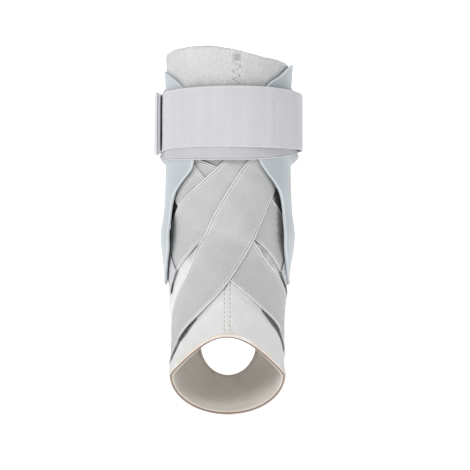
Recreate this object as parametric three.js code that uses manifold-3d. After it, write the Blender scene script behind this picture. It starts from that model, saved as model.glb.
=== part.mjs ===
// An ankle brace that keeps its worn form, with no leg in it: a padded sleeve open at the leg, the
// foot and the heel, two stiff side shells, four elastic straps crossed over the instep, an inner
// band, and a wide upper strap that closes with a tab on the left.
// Millimetres, +Z up, toes towards -Y, +X on the right of someone who looks at the front.
// The origin is on the axis of the leg, at the height of the ankle bones.
import * as THREE from "three";
import { mergeVertices } from "three/addons/utils/BufferGeometryUtils.js";
import Module from "manifold-3d";

// Sizes of the worn form, which is the outside of the sleeve.
const TOP_HEIGHT = 134; // top edge above the ankle bones
const SOLE_DROP = 127; // lowest point below the ankle bones
const INSTEP_REACH = 82; // how far the foot opening reaches in front of the axis
const HEEL_REACH = 52; // how far the back reaches behind the axis
const HALF_WIDTH = 46.5; // half the width at the top edge

// Sizes of the pieces.
const SLEEVE_WALL = 2.5;
const CROSS_STRAP_WIDTH = 32;
const CROSS_STRAP_THICKNESS = 1.5;
const SHELL_THICKNESS = 2;
const BAND_THICKNESS = 1.5;
const BAND_BOTTOM = 53.5; // height of the inner band's lower edge
const BAND_WIDTH = 52;
const BAND_RIGHT_RISE = 5; // how much higher the band sits on the right
const UPPER_STRAP_THICKNESS = 1.5;
const UPPER_STRAP_BOTTOM = 63; // height of the upper strap's lower edge
const UPPER_STRAP_WIDTH = 43.5;
const TAB_THICKNESS = 1.4;
const TAB_LENGTH = 22;
const TAB_OVERHANG = 1.8; // how far the tab stands out above and below the strap
const HEEL_OPENING_HALF_WIDTH = 24;
const HEEL_OPENING_HALF_HEIGHT = 27;
const HEEL_CUT_LENGTH = 80; // through the heel's wall and well short of the instep

// Clearances.
const LAYER_GAP = 0.8; // between one layer and the next
const SHELL_GAP = 1.2; // between a side shell and what it lies on
const TAB_GAP = 0.4; // between the tab and the strap that it is sewn to
const LEFT_BULGE = 0.2; // how far the band and the upper strap stand off the left shell
const RIGHT_BULGE = 3.2; // and the right one
const COVER_MARGIN = 4; // a piece keeps its full lift this far beyond the strap under it
const COVER_RAMP = 16; // and comes down over this length

// Fineness of the meshes.
const SLEEVE_ROWS = 32;
const SLEEVE_COLUMNS = 28;
const STRAP_STEP = 6.2;
const STRAP_COLUMNS = 5;
const SHELL_ROWS = 24;
const SHELL_COLUMNS = 10;
const BAND_STEPS = 48;
const BAND_ROWS = 5;
const UPPER_STRAP_STEP = 7.5; // degrees
const UPPER_STRAP_ROWS = 4;
const TAB_STEPS = 4;
const HEEL_CUT_SIDES = 28;
const ROUTE_SAMPLES = 400;
const NEAREST_PASSES = 4;

// Sections of the form from the top edge (at 0) past the ankle bones (at 1) to the foot opening
// (at 2). Lengths are shares: out of the reach in front or behind, up of the height above the ankle
// bones or of the drop below them, width of the half width. peak makes the front narrower.
const SECTIONS = [
  { at: 0.0, frontOut: 0.56, frontUp: 1.0, backOut: 1.0, backUp: 1.0, width: 1.0, peak: 0 },
  { at: 0.1, frontOut: 0.55, frontUp: 0.9, backOut: 0.99, backUp: 0.9, width: 0.965, peak: 0 },
  { at: 0.25, frontOut: 0.545, frontUp: 0.75, backOut: 0.97, backUp: 0.75, width: 0.915, peak: 0 },
  { at: 0.6, frontOut: 0.53, frontUp: 0.4, backOut: 0.9, backUp: 0.4, width: 0.88, peak: 0 },
  { at: 1.0, frontOut: 0.56, frontUp: 0.015, backOut: 0.81, backUp: -0.015, width: 0.915, peak: 0.05 },
  { at: 1.2, frontOut: 0.62, frontUp: -0.11, backOut: 0.82, backUp: -0.26, width: 0.91, peak: 0.1 },
  { at: 1.4, frontOut: 0.7, frontUp: -0.23, backOut: 0.93, backUp: -0.49, width: 0.89, peak: 0.2 },
  { at: 1.6, frontOut: 0.8, frontUp: -0.34, backOut: 0.9, backUp: -0.73, width: 0.87, peak: 0.35 },
  { at: 1.8, frontOut: 0.9, frontUp: -0.44, backOut: 0.2, backUp: -0.92, width: 0.86, peak: 0.5 },
  { at: 2.0, frontOut: 1.0, frontUp: -0.535, backOut: -1.0, backUp: -1.0, width: 0.87, peak: 0.65 },
];

// Height of the sleeve's top edge round the leg, as a share of its height. Turns are in degrees
// from the front, positive towards +X.
const TOP_EDGE = [
  { turn: -180, up: 0.985 },
  { turn: -90, up: 1.0 },
  { turn: -40, up: 1.0 },
  { turn: -12, up: 1.01 },
  { turn: 8, up: 0.985 },
  { turn: 36, up: 0.96 },
  { turn: 90, up: 0.957 },
  { turn: 180, up: 0.985 },
];

// Middle lines of the crossed straps on the form.
const OUTER_INSTEP_ROUTE = [
  { turn: 86, at: 0.4 },
  { turn: 60, at: 0.535 },
  { turn: 40, at: 0.655 },
  { turn: 27, at: 0.745 },
  { turn: 8, at: 0.945 },
  { turn: -8, at: 1.2 },
  { turn: -26, at: 1.47 },
  { turn: -43, at: 1.575 },
  { turn: -68, at: 1.68 },
  { turn: -92, at: 1.8 },
  { turn: -120, at: 1.86 },
  { turn: -155, at: 1.88 },
  { turn: -192, at: 1.88 },
];
const INNER_INSTEP_ROUTE = [
  { turn: -90, at: 0.5 },
  { turn: -58, at: 0.655 },
  { turn: -41, at: 0.755 },
  { turn: -14, at: 0.96 },
  { turn: 6, at: 1.205 },
  { turn: 24, at: 1.395 },
  { turn: 46, at: 1.49 },
  { turn: 70, at: 1.57 },
  { turn: 94, at: 1.69 },
  { turn: 120, at: 1.79 },
  { turn: 155, at: 1.86 },
  { turn: 192, at: 1.88 },
];
const OUTER_ANKLE_ROUTE = [
  { turn: 50, at: 0.5 },
  { turn: 34, at: 0.585 },
  { turn: 15.5, at: 0.685 },
  { turn: -4.5, at: 0.795 },
  { turn: -36, at: 0.945 },
  { turn: -56, at: 1.06 },
  { turn: -80, at: 1.19 },
  { turn: -110, at: 1.24 },
  { turn: -150, at: 1.2 },
  { turn: -190, at: 1.15 },
];
const INNER_ANKLE_ROUTE = [
  { turn: -62, at: 0.62 },
  { turn: -48, at: 0.68 },
  { turn: -21, at: 0.745 },
  { turn: 3, at: 0.82 },
  { turn: 38, at: 0.93 },
  { turn: 58, at: 1.05 },
  { turn: 80, at: 1.19 },
  { turn: 110, at: 1.24 },
  { turn: 150, at: 1.2 },
  { turn: 190, at: 1.15 },
];

// Outline of a side shell: how far its edge lies from the middle of the side, in degrees.
const SHELL_OUTLINE = [
  { at: 0.08, spread: 9 },
  { at: 0.13, spread: 33 },
  { at: 0.18, spread: 47 },
  { at: 0.28, spread: 60 },
  { at: 0.59, spread: 62 },
  { at: 0.65, spread: 58 },
  { at: 0.72, spread: 48 },
  { at: 0.78, spread: 40 },
  { at: 0.86, spread: 34 },
  { at: 0.95, spread: 31 },
  { at: 1.1, spread: 28 },
  { at: 1.22, spread: 24 },
  { at: 1.32, spread: 9 },
];
const SHELL_BACK_SHARE = 0.75; // the edge behind is drawn in by this share

// Places round the leg, in degrees.
const UPPER_STRAP_START = -160;
const UPPER_STRAP_END = 278;
const OVERLAP_START = 188; // where the upper strap starts to climb over its own beginning
const OVERLAP_CLIMB = 22;
const HEEL_OPENING_AT = 1.6;

const RADIANS = Math.PI / 180;
const NUDGE = 1e-3; // small change of a turn or a place for slopes

const level = (share) => share * (share >= 0 ? TOP_HEIGHT : SOLE_DROP);

const FORM = SECTIONS.map((row) => ({
  at: row.at,
  frontY: -INSTEP_REACH * row.frontOut,
  frontZ: level(row.frontUp),
  backY: HEEL_REACH * row.backOut,
  backZ: level(row.backUp),
  width: HALF_WIDTH * row.width,
  peak: row.peak,
}));

// A column of a table between its rows, as a smooth curve over the column named key.
function smooth(rows, key, column, where) {
  const last = rows.length - 1;
  let i = 0;
  while (i < last - 1 && where > rows[i + 1][key]) i += 1;
  const slope = (k) => {
    const before = rows[Math.max(k - 1, 0)];
    const after = rows[Math.min(k + 1, last)];
    return (after[column] - before[column]) / (after[key] - before[key]);
  };
  const span = rows[i + 1][key] - rows[i][key];
  const t = (where - rows[i][key]) / span;
  const t2 = t * t;
  const t3 = t2 * t;
  return (
    (2 * t3 - 3 * t2 + 1) * rows[i][column] +
    (t3 - 2 * t2 + t) * span * slope(i) +
    (3 * t2 - 2 * t3) * rows[i + 1][column] +
    (t3 - t2) * span * slope(i + 1)
  );
}

// A point of the form: turn in degrees from the front, at along the sections.
function formPoint(turn, at) {
  const read = (column) => smooth(FORM, "at", column, at);
  const front = new THREE.Vector3(0, read("frontY"), read("frontZ"));
  const back = new THREE.Vector3(0, read("backY"), read("backZ"));
  const side = Math.sin(turn * RADIANS);
  const ahead = Math.cos(turn * RADIANS);
  const narrowed = ahead > 0 ? ahead * (1 - read("peak") * side * side) : ahead;
  const middle = front.clone().add(back).multiplyScalar(0.5);
  const point = middle.addScaledVector(front.sub(back), narrowed / 2);
  point.x = side * read("width");
  return point;
}

function formSlopes(turn, at) {
  const point = formPoint(turn, at);
  const round = formPoint(turn + NUDGE, at).sub(point).divideScalar(NUDGE);
  const along = formPoint(turn, at + NUDGE).sub(point).divideScalar(NUDGE);
  return { point, round, along };
}

function formNormal(turn, at) {
  const { round, along } = formSlopes(turn, at);
  return along.cross(round).normalize();
}

// The place on the form nearest to a target, found from a place close by.
function nearestPlace(place, target) {
  let { turn, at } = place;
  for (let pass = 0; pass < NEAREST_PASSES; pass += 1) {
    const { point, round, along } = formSlopes(turn, at);
    const miss = target.clone().sub(point);
    const a = round.dot(round);
    const b = round.dot(along);
    const c = along.dot(along);
    const d = miss.dot(round);
    const e = miss.dot(along);
    const scale = a * c - b * b;
    turn += (d * c - e * b) / scale;
    at += (e * a - d * b) / scale;
  }
  return { turn, at };
}

// The place on the leg part of the form with this turn and height.
function placeAtHeight(turn, height) {
  return { turn, at: 1 - height / TOP_HEIGHT };
}

function step01(t) {
  const held = Math.min(Math.max(t, 0), 1);
  return held * held * (3 - 2 * held);
}

// Places at even steps along the middle line of a strap.
function evenPlaces(route, spacing) {
  const rows = route.map((row, index) => ({ index, ...row }));
  const fine = [];
  let length = 0;
  for (let i = 0; i <= ROUTE_SAMPLES; i += 1) {
    const index = (i / ROUTE_SAMPLES) * (rows.length - 1);
    const turn = smooth(rows, "index", "turn", index);
    const at = smooth(rows, "index", "at", index);
    const point = formPoint(turn, at);
    if (i > 0) length += point.distanceTo(fine[i - 1].point);
    fine.push({ turn, at, point, length });
  }
  const steps = Math.round(length / spacing);
  const places = [];
  for (let i = 0; i <= steps; i += 1) {
    const wanted = (i / steps) * length;
    places.push(fine.find((place) => place.length >= wanted - 1e-6) ?? fine[ROUTE_SAMPLES]);
  }
  return places;
}

// How far the straps in a list lift what lies over them at a point of the form.
function liftOver(point, straps) {
  let lift = 0;
  for (const strap of straps) {
    let away = Infinity;
    for (const place of strap) {
      away = Math.min(away, place.point.distanceTo(point));
    }
    const beyond = away - CROSS_STRAP_WIDTH / 2 - COVER_MARGIN;
    lift += (CROSS_STRAP_THICKNESS + LAYER_GAP) * (1 - step01(beyond / COVER_RAMP));
  }
  return lift;
}

// A closed solid between two grids of points. With ring set the last row joins the first one.
function wallSolid(inner, outer, ring) {
  const rows = inner.length;
  const columns = inner[0].length;
  const positions = [];
  for (const grid of [inner, outer]) {
    for (const row of grid) {
      for (const point of row) positions.push(point.x, point.y, point.z);
    }
  }
  const indices = [];
  const corner = (side, i, j) => side * rows * columns + (i % rows) * columns + j;
  const quad = (a, b, c, d) => indices.push(a, b, c, a, c, d);
  const spans = ring ? rows : rows - 1;
  for (let i = 0; i < spans; i += 1) {
    for (let j = 0; j < columns - 1; j += 1) {
      quad(corner(1, i, j), corner(1, i + 1, j), corner(1, i + 1, j + 1), corner(1, i, j + 1));
      quad(corner(0, i, j), corner(0, i, j + 1), corner(0, i + 1, j + 1), corner(0, i + 1, j));
    }
    const end = columns - 1;
    quad(corner(0, i, 0), corner(0, i + 1, 0), corner(1, i + 1, 0), corner(1, i, 0));
    quad(corner(1, i, end), corner(1, i + 1, end), corner(0, i + 1, end), corner(0, i, end));
  }
  if (!ring) {
    const end = rows - 1;
    for (let j = 0; j < columns - 1; j += 1) {
      quad(corner(1, 0, j), corner(1, 0, j + 1), corner(0, 0, j + 1), corner(0, 0, j));
      quad(corner(0, end, j), corner(0, end, j + 1), corner(1, end, j + 1), corner(1, end, j));
    }
  }
  const geometry = new THREE.BufferGeometry();
  geometry.setAttribute("position", new THREE.Float32BufferAttribute(positions, 3));
  geometry.setIndex(indices);
  return facingOut(geometry);
}

// The geometry with its faces turned outwards, whichever way its grid ran.
function facingOut(geometry) {
  const index = geometry.index.array;
  const position = geometry.attributes.position;
  const corners = [new THREE.Vector3(), new THREE.Vector3(), new THREE.Vector3()];
  let volume = 0;
  for (let i = 0; i < index.length; i += 3) {
    corners.forEach((corner, k) => corner.fromBufferAttribute(position, index[i + k]));
    volume += corners[0].dot(corners[1].clone().cross(corners[2])) / 6;
  }
  if (volume < 0) geometry.setIndex(Array.from(index).reverse());
  return geometry;
}

// A wall that follows the form over a grid of places, from one height above it to another.
function wallOnForm(places, bottomLift, thickness, ring) {
  const raised = (extra) =>
    places.map((row) =>
      row.map((place) => {
        const point = formPoint(place.turn, place.at);
        const lift = bottomLift(point, place) + extra;
        return point.clone().addScaledVector(formNormal(place.turn, place.at), lift);
      }),
    );
  return wallSolid(raised(0), raised(thickness), ring);
}

// A crossed strap along its middle line, over the straps that lie under it.
function crossStrap(middle, below) {
  const half = (STRAP_COLUMNS - 1) / 2;
  const stride = CROSS_STRAP_WIDTH / (STRAP_COLUMNS - 1);
  const places = middle.map((centre, i) => {
    const before = middle[Math.max(i - 1, 0)].point;
    const after = middle[Math.min(i + 1, middle.length - 1)].point;
    const ahead = after.clone().sub(before).normalize();
    const row = [centre];
    for (const side of [-1, 1]) {
      let place = centre;
      for (let k = 0; k < half; k += 1) {
        const across = formNormal(place.turn, place.at).cross(ahead).normalize();
        const target = formPoint(place.turn, place.at).addScaledVector(across, side * stride);
        place = nearestPlace(place, target);
        if (side < 0) row.unshift(place);
        else row.push(place);
      }
    }
    return row;
  });
  const lift = (point) => LAYER_GAP + liftOver(point, below);
  return wallOnForm(places, lift, CROSS_STRAP_THICKNESS, false);
}

// The sleeve before its heel opening is cut.
function sleeveWall() {
  const places = [];
  for (let i = 0; i < SLEEVE_COLUMNS; i += 1) {
    const turn = -180 + (360 * i) / SLEEVE_COLUMNS;
    const top = 1 - smooth(TOP_EDGE, "turn", "up", turn);
    const row = [];
    for (let j = 0; j <= SLEEVE_ROWS; j += 1) {
      row.push({ turn, at: top + ((2 - top) * j) / SLEEVE_ROWS });
    }
    places.push(row);
  }
  return wallOnForm(places, () => -SLEEVE_WALL, SLEEVE_WALL, true);
}

const wasm = await Module();
wasm.setup();

function toManifold(geometry) {
  const bare = new THREE.BufferGeometry();
  bare.setAttribute("position", geometry.getAttribute("position"));
  bare.setIndex(geometry.index);
  const merged = mergeVertices(bare, 1e-4);
  const mesh = new wasm.Mesh({
    numProp: 3,
    vertProperties: merged.attributes.position.array,
    triVerts: new Uint32Array(merged.index.array),
  });
  return new wasm.Manifold(mesh);
}

function fromManifold(solid) {
  const mesh = solid.getMesh();
  const geometry = new THREE.BufferGeometry();
  geometry.setAttribute("position", new THREE.BufferAttribute(mesh.vertProperties, 3));
  geometry.setIndex(new THREE.BufferAttribute(mesh.triVerts, 1));
  return geometry;
}

// The sleeve with a round opening over the heel.
function sleeve() {
  const heel = formPoint(180, HEEL_OPENING_AT);
  const outward = formNormal(180, HEEL_OPENING_AT);
  const cutter = new THREE.CylinderGeometry(1, 1, HEEL_CUT_LENGTH, HEEL_CUT_SIDES);
  cutter.scale(HEEL_OPENING_HALF_WIDTH, 1, HEEL_OPENING_HALF_HEIGHT);
  const turned = new THREE.Quaternion();
  turned.setFromUnitVectors(new THREE.Vector3(0, 1, 0), outward);
  cutter.applyQuaternion(turned);
  cutter.translate(heel.x, heel.y, heel.z);
  return fromManifold(toManifold(sleeveWall()).subtract(toManifold(cutter)));
}

// A side shell: side is -1 on the left and 1 on the right.
function sideShell(side, straps) {
  const first = SHELL_OUTLINE[0].at;
  const last = SHELL_OUTLINE[SHELL_OUTLINE.length - 1].at;
  const places = [];
  for (let i = 0; i <= SHELL_ROWS; i += 1) {
    const at = first + ((last - first) * (1 - Math.cos((Math.PI * i) / SHELL_ROWS))) / 2;
    const spread = smooth(SHELL_OUTLINE, "at", "spread", at);
    const row = [];
    for (let j = 0; j <= SHELL_COLUMNS; j += 1) {
      const share = (2 * j) / SHELL_COLUMNS - 1;
      const reach = share > 0 ? SHELL_BACK_SHARE * spread : spread;
      row.push({ turn: side * (90 + share * reach), at });
    }
    places.push(row);
  }
  const lift = (point) => SHELL_GAP + liftOver(point, straps);
  return wallOnForm(places, lift, SHELL_THICKNESS, false);
}

// How much the band and the upper strap stand off the shells at this turn.
function sideBulge(turn) {
  const side = Math.sin(turn * RADIANS);
  return (side < 0 ? LEFT_BULGE : RIGHT_BULGE) * side * side;
}

function overShells(point, straps) {
  return SHELL_GAP + liftOver(point, straps) + SHELL_THICKNESS + LAYER_GAP;
}

function innerBand(straps) {
  const places = [];
  for (let i = 0; i < BAND_STEPS; i += 1) {
    const turn = (360 * i) / BAND_STEPS;
    const row = [];
    const right = Math.max(Math.sin(turn * RADIANS), 0);
    const bottom = BAND_BOTTOM + BAND_RIGHT_RISE * right * right;
    for (let j = 0; j <= BAND_ROWS; j += 1) {
      const height = bottom + (BAND_WIDTH * j) / BAND_ROWS;
      row.push({ ...placeAtHeight(turn, height), across: j / BAND_ROWS });
    }
    places.push(row);
  }
  const lift = (point, place) =>
    overShells(point, straps) + sideBulge(place.turn) * Math.sin(Math.PI * place.across);
  return wallOnForm(places, lift, BAND_THICKNESS, true);
}

function overBand(point, place, straps) {
  const climb = step01((place.turn - OVERLAP_START) / OVERLAP_CLIMB);
  const below = overShells(point, straps) + BAND_THICKNESS + LAYER_GAP;
  return below + sideBulge(place.turn) + climb * (UPPER_STRAP_THICKNESS + LAYER_GAP);
}

function upperStrap(straps) {
  const places = [];
  const steps = Math.round((UPPER_STRAP_END - UPPER_STRAP_START) / UPPER_STRAP_STEP);
  for (let i = 0; i <= steps; i += 1) {
    const turn = UPPER_STRAP_START + ((UPPER_STRAP_END - UPPER_STRAP_START) * i) / steps;
    const row = [];
    for (let j = 0; j <= UPPER_STRAP_ROWS; j += 1) {
      const height = UPPER_STRAP_BOTTOM + (UPPER_STRAP_WIDTH * j) / UPPER_STRAP_ROWS;
      row.push(placeAtHeight(turn, height));
    }
    places.push(row);
  }
  const lift = (point, place) => overBand(point, place, straps);
  return wallOnForm(places, lift, UPPER_STRAP_THICKNESS, false);
}

// The tab on the end of the upper strap, on its outside.
function closingTab(straps) {
  const reach = TAB_LENGTH / (HALF_WIDTH * RADIANS);
  const places = [];
  for (let i = 0; i <= TAB_STEPS; i += 1) {
    const turn = UPPER_STRAP_END - reach + (reach * i) / TAB_STEPS;
    const low = UPPER_STRAP_BOTTOM - TAB_OVERHANG;
    const high = UPPER_STRAP_BOTTOM + UPPER_STRAP_WIDTH + TAB_OVERHANG;
    places.push([0, 0.5, 1].map((share) => placeAtHeight(turn, low + (high - low) * share)));
  }
  const lift = (point, place) =>
    overBand(point, place, straps) + UPPER_STRAP_THICKNESS + TAB_GAP;
  return wallOnForm(places, lift, TAB_THICKNESS, false);
}

const sleeveFabric = () => new THREE.MeshStandardMaterial({ color: 0xdadad7, roughness: 0.9, metalness: 0 });
const wovenElastic = () => new THREE.MeshStandardMaterial({ color: 0xc3c3c3, roughness: 0.85, metalness: 0 });
const shellPlastic = () => new THREE.MeshStandardMaterial({ color: 0xbfc6cb, roughness: 0.5, metalness: 0 });
const loopFabric = () => new THREE.MeshStandardMaterial({ color: 0xd2d1d7, roughness: 0.9, metalness: 0 });
const bandElastic = () => new THREE.MeshStandardMaterial({ color: 0xc8c8ca, roughness: 0.85, metalness: 0 });
const tabFabric = () => new THREE.MeshStandardMaterial({ color: 0xcdccd2, roughness: 0.8, metalness: 0 });

const innerAnkle = evenPlaces(INNER_ANKLE_ROUTE, STRAP_STEP);
const innerInstep = evenPlaces(INNER_INSTEP_ROUTE, STRAP_STEP);
const outerAnkle = evenPlaces(OUTER_ANKLE_ROUTE, STRAP_STEP);
const outerInstep = evenPlaces(OUTER_INSTEP_ROUTE, STRAP_STEP);
const allStraps = [innerAnkle, innerInstep, outerAnkle, outerInstep];

const group = new THREE.Group();
group.name = "ankle_brace";

function addPiece(name, geometry, material) {
  geometry.computeVertexNormals();
  const mesh = new THREE.Mesh(geometry, material);
  mesh.name = name;
  group.add(mesh);
}

addPiece("sleeve", sleeve(), sleeveFabric());
addPiece("ankle_strap_inner", crossStrap(innerAnkle, []), wovenElastic());
addPiece("instep_strap_inner", crossStrap(innerInstep, [innerAnkle]), wovenElastic());
addPiece("ankle_strap_outer", crossStrap(outerAnkle, [innerAnkle, innerInstep]), wovenElastic());
addPiece(
  "instep_strap_outer",
  crossStrap(outerInstep, [innerAnkle, innerInstep, outerAnkle]),
  wovenElastic(),
);
addPiece("shell_left", sideShell(-1, allStraps), shellPlastic());
addPiece("shell_right", sideShell(1, allStraps), shellPlastic());
addPiece("inner_band", innerBand(allStraps), bandElastic());
addPiece("upper_strap", upperStrap(allStraps), loopFabric());
addPiece("closing_tab", closingTab(allStraps), tabFabric());

export default group;
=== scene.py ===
"""Looks of an ankle brace in its worn form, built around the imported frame.

Metres, +Z up, toes towards -Y. The origin is on the leg's axis at the height of the ankle bones.
Every piece is laid on one form, the outside of the sleeve, as the CAD solids are.
"""

import math

import bpy
import numpy as np
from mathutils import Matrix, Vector


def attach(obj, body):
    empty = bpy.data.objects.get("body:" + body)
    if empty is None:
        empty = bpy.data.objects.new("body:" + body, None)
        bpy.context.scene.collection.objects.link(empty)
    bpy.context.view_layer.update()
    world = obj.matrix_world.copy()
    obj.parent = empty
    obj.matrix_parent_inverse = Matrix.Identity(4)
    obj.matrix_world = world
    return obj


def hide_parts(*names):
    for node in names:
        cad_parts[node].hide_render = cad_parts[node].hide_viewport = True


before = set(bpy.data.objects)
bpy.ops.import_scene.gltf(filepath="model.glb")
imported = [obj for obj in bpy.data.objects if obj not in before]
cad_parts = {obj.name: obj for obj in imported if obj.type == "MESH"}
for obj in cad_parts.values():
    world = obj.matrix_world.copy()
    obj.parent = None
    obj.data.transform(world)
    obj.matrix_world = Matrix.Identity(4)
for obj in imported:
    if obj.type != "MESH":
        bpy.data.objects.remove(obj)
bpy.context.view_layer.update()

MM = 0.001
rng = np.random.default_rng(7)

# Sizes of the form, the same as the CAD part's.
TOP_HEIGHT = 134 * MM
SOLE_DROP = 127 * MM
INSTEP_REACH = 82 * MM
HEEL_REACH = 52 * MM
HALF_WIDTH = 46.5 * MM

# Sizes of the pieces as they look.
SLEEVE_WALL = 2.6 * MM
STRAP_WIDTH = 32 * MM
STRAP_THICKNESS = 1.3 * MM
SHELL_THICKNESS = 2.0 * MM
BAND_THICKNESS = 1.0 * MM
BAND_BOTTOM = 53.5 * MM
BAND_TOP = 104 * MM
BAND_TOP_BEHIND = 114 * MM
BAND_RIGHT_RISE = 6 * MM
BAND_LEFT_RISE = 1.5 * MM
BAND_LEFT_BULGE = 4.3 * MM
BAND_RIGHT_BULGE = 5.6 * MM
BAND_FOLD = 13
UPPER_STRAP_THICKNESS = 1.1 * MM
UPPER_STRAP_LEFT_REACH = 47.9 * MM
UPPER_STRAP_RIGHT_REACH = 54.9 * MM
UPPER_STRAP_BOTTOM = 63 * MM
UPPER_STRAP_WIDTH = 43.5 * MM
TAB_THICKNESS = 2.0 * MM
TAB_LENGTH = 22 * MM
TAB_OVERHANG = 1.8 * MM
HEEL_OPENING_HALF_WIDTH = 24 * MM
HEEL_OPENING_HALF_HEIGHT = 27 * MM
HEEL_OPENING_AT = 1.6
HEEL_CUT_DEPTH = 40 * MM
SIDE_LOOP_THICKNESS = 0.7 * MM
LAYER_GAP = 0.12 * MM
REST_GAP = 0.25 * MM
STRAP_MARGIN = 1.5 * MM
STRAP_RAMP = 11 * MM

# Camera and photograph.
CAMERA_DISTANCE = 970 * MM
CAMERA_ASIDE = 5.25 * MM
FIELD_WIDTH = 352.5 * MM
SENSOR_WIDTH = 36.0

# Sections of the form from the top to the foot opening, as shares of its sizes.
SECTION_COLUMNS = ("at", "front_out", "front_up", "back_out", "back_up", "width", "peak")
SECTIONS = (
    (0.0, 0.56, 1.0, 1.0, 1.0, 1.0, 0.0),
    (0.1, 0.55, 0.9, 0.99, 0.9, 0.965, 0.0),
    (0.25, 0.545, 0.75, 0.97, 0.75, 0.915, 0.0),
    (0.6, 0.53, 0.4, 0.9, 0.4, 0.88, 0.0),
    (1.0, 0.56, 0.015, 0.81, -0.015, 0.915, 0.05),
    (1.2, 0.62, -0.11, 0.82, -0.26, 0.91, 0.1),
    (1.4, 0.7, -0.23, 0.93, -0.49, 0.89, 0.2),
    (1.6, 0.8, -0.34, 0.9, -0.73, 0.87, 0.35),
    (1.8, 0.9, -0.44, 0.2, -0.92, 0.86, 0.5),
    (2.0, 1.0, -0.535, -1.0, -1.0, 0.87, 0.65),
)

# Height of the sleeve's top edge by turn, as a share of TOP_HEIGHT.
TOP_EDGE_COLUMNS = ("turn", "up")
TOP_EDGE = (
    (-180, 0.98),
    (-110, 0.975),
    (-90, 0.982),
    (-70, 0.996),
    (-38, 1.004),
    (-15, 1.0),
    (0, 0.987),
    (14, 0.97),
    (34, 0.95),
    (66, 0.938),
    (84, 0.93),
    (100, 0.934),
    (180, 0.98),
)

# Middle lines of the crossed straps.
ROUTE_COLUMNS = ("turn", "at")
OUTER_INSTEP_ROUTE = (
    (86, 0.4), (60, 0.535), (40, 0.655), (27, 0.745), (8, 0.945), (-8, 1.2), (-26, 1.47),
    (-43, 1.575), (-68, 1.68), (-92, 1.8), (-120, 1.86), (-155, 1.88), (-192, 1.88),
)
INNER_INSTEP_ROUTE = (
    (-90, 0.5), (-58, 0.655), (-41, 0.755), (-14, 0.96), (6, 1.205), (24, 1.395), (46, 1.49),
    (70, 1.57), (94, 1.69), (120, 1.79), (155, 1.86), (192, 1.88),
)
OUTER_ANKLE_ROUTE = (
    (50, 0.5), (34, 0.585), (15.5, 0.685), (-4.5, 0.795), (-36, 0.945), (-56, 1.06), (-80, 1.19),
    (-110, 1.24), (-150, 1.2), (-190, 1.15),
)
INNER_ANKLE_ROUTE = (
    (-62, 0.62), (-48, 0.68), (-21, 0.745), (3, 0.82), (38, 0.93), (58, 1.05), (80, 1.19),
    (110, 1.24), (150, 1.2), (190, 1.15),
)

# Turn from the middle of the side to the shells' front edges.
SHELL_COLUMNS = ("at", "left", "right")
SHELL_OUTLINE = (
    (0.08, 9, 14),
    (0.13, 28, 36),
    (0.18, 41, 50),
    (0.28, 58, 61),
    (0.59, 58, 61),
    (0.65, 55.5, 55),
    (0.72, 43.8, 44),
    (0.78, 34.5, 36.3),
    (0.86, 30, 32.8),
    (0.95, 30.5, 33.5),
    (1.1, 28.5, 31.5),
    (1.22, 19.5, 22),
    (1.32, 9, 12),
)
SHELL_BACK_SHARE = 0.75
# The right shell begins higher than the table says.
RIGHT_SHELL_TOP = 0.045

# How far the shells' inner faces stand off the sleeve, in millimetres, at the middle of each side.
CUP_COLUMNS = ("at", "left", "right")
CUP = (
    (0.04, 0.3, 1.2),
    (0.18, 1.4, 2.2),
    (0.3, 2.6, 3.4),
    (0.5, 3.8, 4.2),
    (0.7, 3.9, 4.3),
    (0.86, 3.9, 4.2),
    (1.0, 5.9, 5.6),
    (1.1, 5.0, 4.6),
    (1.2, 4.0, 2.8),
    (1.32, 3.0, 1.7),
)

# How much wider each strap lies on its first and last side, by the depth of its middle line below
# the origin, in millimetres.
SPREAD_COLUMNS = ("depth", "first", "last")
SPREADS = {
    "instep_strap_outer": (
        (-98, 0, 0),
        (5, 0, 0),
        (20, 0.6, 0.6),
        (34, 2.4, 1.6),
        (50, 1.7, 1.9),
        (66, 0.8, 2.4),
        (80, 0, 1.0),
        (98, 0, 0),
    ),
    "instep_strap_inner": (
        (-90, 0, 0),
        (-40, 0, 0),
        (-15, -0.3, 0.8),
        (5, -0.7, 1.8),
        (18, -0.8, 2.6),
        (30, -0.7, 3.2),
        (45, -0.5, 1.6),
        (60, -1.2, 0.4),
        (75, -2.4, 0),
        (95, 0, 0),
    ),
    "ankle_strap_outer": (
        (-55, 0, 0),
        (-40, 1.6, 0),
        (-25, 1.8, 0.3),
        (-5, 1.6, 0.7),
        (10, 1.9, -0.3),
        (25, 1.3, -0.8),
        (40, 0, 0),
    ),
    "ankle_strap_inner": (
        (-50, 0, 0),
        (-30, 0.5, 1.0),
        (-10, 0.9, 2.0),
        (0, 0, 1.6),
        (10, -1.1, 1.0),
        (25, -1.8, 0.5),
        (35, 0, 0),
    ),
}

# Turn of the ends of the upper strap, and of the climb over its own beginning.
UPPER_STRAP_START = -160
UPPER_STRAP_END = 278
OVERLAP_START = 188
OVERLAP_CLIMB = 22

# Mean distances from the leg's axis, for lengths round it.
SLEEVE_RADIUS = 44 * MM
SIDE_RADIUS = 43 * MM
SHELL_RADIUS = 46 * MM
BAND_RADIUS = 50 * MM
UPPER_STRAP_RADIUS = 52 * MM
# Mean length along the sleeve for each unit of at.
SLEEVE_LENGTH = 120 * MM


def table(columns, rows):
    """A short table as a dictionary of columns."""
    return dict(zip(columns, np.array(rows, float).T))


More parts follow.
